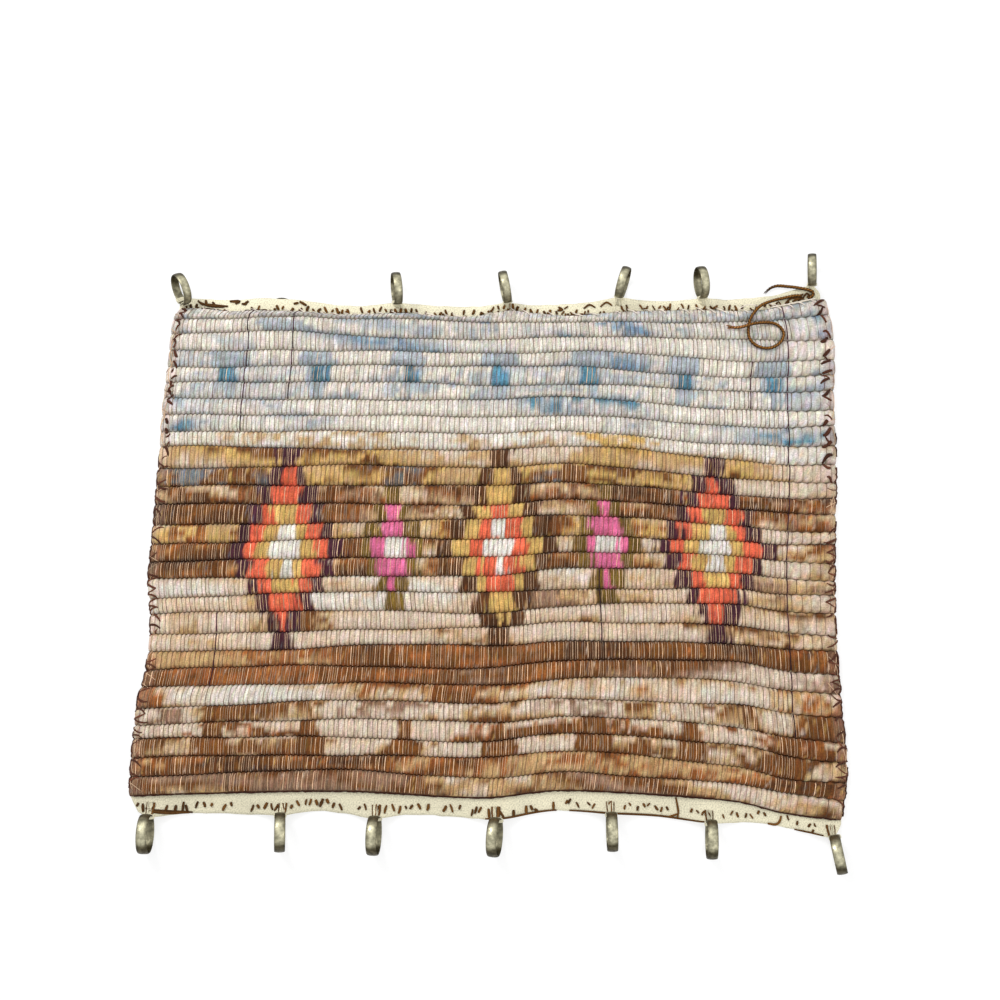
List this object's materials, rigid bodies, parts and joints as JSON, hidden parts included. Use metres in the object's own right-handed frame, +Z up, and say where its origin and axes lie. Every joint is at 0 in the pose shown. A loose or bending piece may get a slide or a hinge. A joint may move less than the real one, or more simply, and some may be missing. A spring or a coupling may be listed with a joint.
{
  "type": "woven wool tapestry",
  "caption": "Thick ribbed wool weaving lying face up, with cotton tape sewn behind its upper and lower edges and flat metal hanging rings tied to the tape.",
  "frame": {"origin": "middle of the bottom of the box, on the surface that it lies on, measured without the loose yarn ends", "axes": "+X along the ribs, +Y towards the upper edge, +Z up out of the face"},
  "size_m": [0.6954, 0.616, 0.0377],
  "materials": {
    "wool": "unspun carded wool in thick ribs, matt",
    "cotton_tape": "cream cotton twill tape, matt",
    "ring_metal": "nickel-plated steel, tarnished, satin",
    "edging_yarn": "brown three-ply wool yarn, matt"
  },
  "bodies": {
    "root": {"tapestry": "wool", "tape_top": "cotton_tape", "tape_bottom": "cotton_tape", "ring_top_1": "ring_metal", "ring_top_2": "ring_metal", "ring_top_3": "ring_metal", "ring_top_4": "ring_metal", "ring_top_5": "ring_metal", "ring_top_6": "ring_metal", "ring_top_7": "ring_metal", "ring_bottom_1": "ring_metal", "ring_bottom_2": "ring_metal", "ring_bottom_3": "ring_metal", "ring_bottom_4": "ring_metal", "ring_bottom_5": "ring_metal", "ring_bottom_6": "ring_metal", "ring_bottom_7": "ring_metal", "yarn_end_loop": "edging_yarn", "yarn_end_short": "edging_yarn"}
  },
  "joints": []
}
